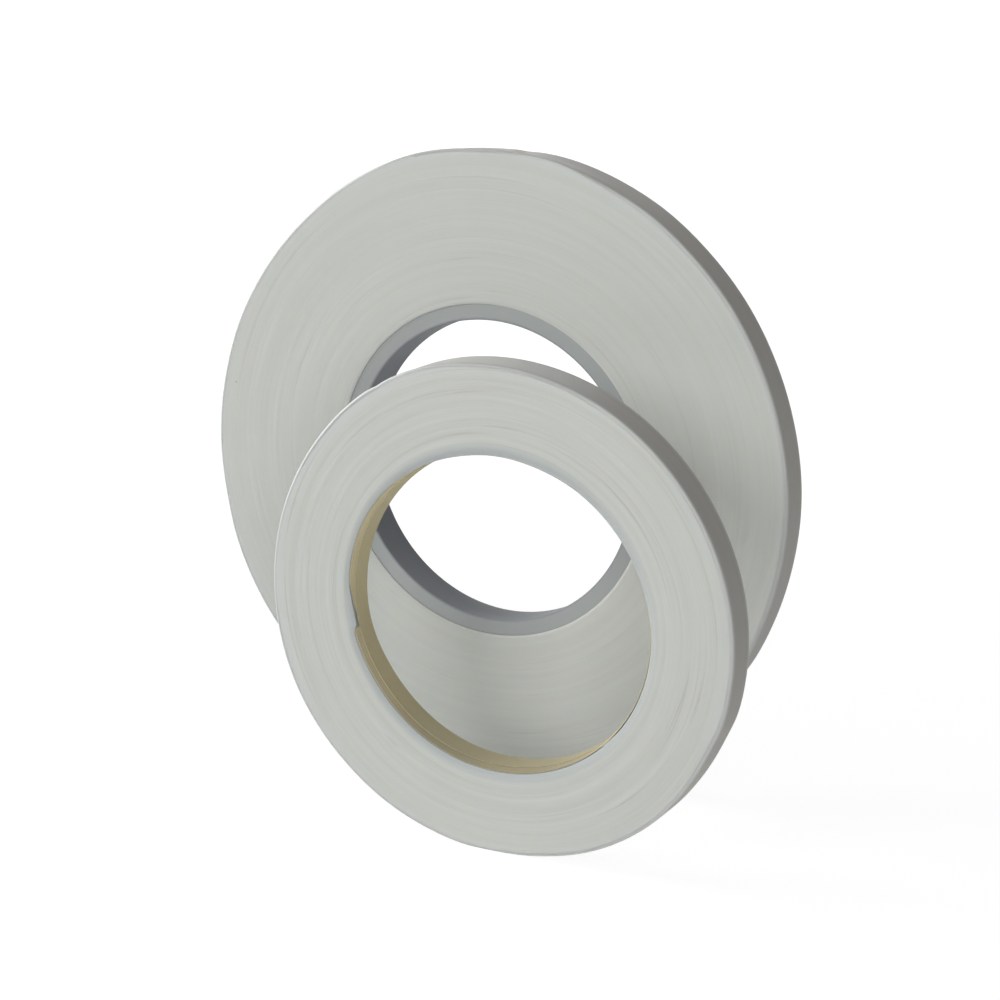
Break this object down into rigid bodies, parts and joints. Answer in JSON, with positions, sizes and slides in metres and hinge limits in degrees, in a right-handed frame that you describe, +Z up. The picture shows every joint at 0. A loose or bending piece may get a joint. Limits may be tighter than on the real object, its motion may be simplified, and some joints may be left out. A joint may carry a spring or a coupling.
{
  "type": "thread seal tape roll",
  "caption": "Standing rolls of white thread seal tape, wound on a grey core ring or on tan paper strips, with free tape ends that peel off and open bores for a spindle.",
  "frame": {"origin": "on the ground, under the middle of the rear roll", "axes": "+Z up, the rolls' axes along Y, the front faces and the front roll towards -Y"},
  "size_m": [0.1642, 0.0585, 0.1572],
  "materials": {
    "tape": "soft white tape, dull with a faint satin sheen",
    "core": "moulded grey plastic, satin",
    "paper": "tan paper, matte"
  },
  "bodies": {
    "rear_roll": {"rear_core": "core", "rear_tape_pack": "tape", "rear_outer_turn": "tape"},
    "rear_end": {"rear_tape_end": "tape"},
    "front_roll": {"front_outer_strip": "paper", "front_inner_strip": "paper", "front_tape_pack": "tape", "front_outer_turn": "tape"},
    "front_end": {"front_tape_end": "tape"}
  },
  "joints": [
    {"name": "rear_end_peel", "type": "hinge", "parent": "rear_roll", "child": "rear_end", "pos_m": [-0.0205, 0, 0.1545], "axis": [0, -1, 0], "range_deg": [0, 120]},
    {"name": "front_roll_slide", "type": "slide", "parent": "rear_roll", "child": "front_roll", "axis": [0, -1, 0], "range_m": [0, 0.1]},
    {"name": "front_end_peel", "type": "hinge", "parent": "front_roll", "child": "front_end", "pos_m": [-0.02447, -0.0479, 0.0876], "axis": [0, -1, 0], "range_deg": [0, 120]}
  ]
}
